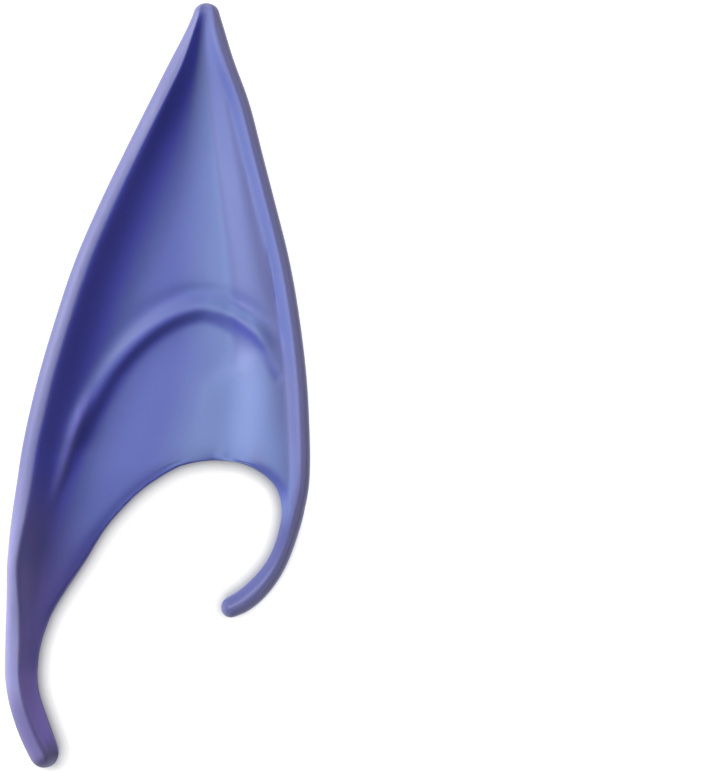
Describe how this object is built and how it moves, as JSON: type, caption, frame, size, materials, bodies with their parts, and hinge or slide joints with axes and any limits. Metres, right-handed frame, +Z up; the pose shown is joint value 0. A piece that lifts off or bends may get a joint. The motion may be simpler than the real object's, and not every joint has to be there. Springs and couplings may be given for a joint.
{
  "type": "elf ear tip",
  "caption": "Hollow pointed latex tip worn over the top of a right ear, with a dished face, rolled rims, a long back tail and a short front hook.",
  "frame": {"origin": "middle of the bounding box, on the surface that the tip lies on", "axes": "+Z up out of the dished face, +Y towards the point, +X towards the front rim and the short hook"},
  "size_m": [0.0521, 0.1299, 0.0178],
  "materials": {
    "latex": "satin blue-violet slip-cast latex, lavender along the rims and bluer in the middle of the face"
  },
  "bodies": {
    "root": {"ear_tip": "latex"}
  },
  "joints": []
}
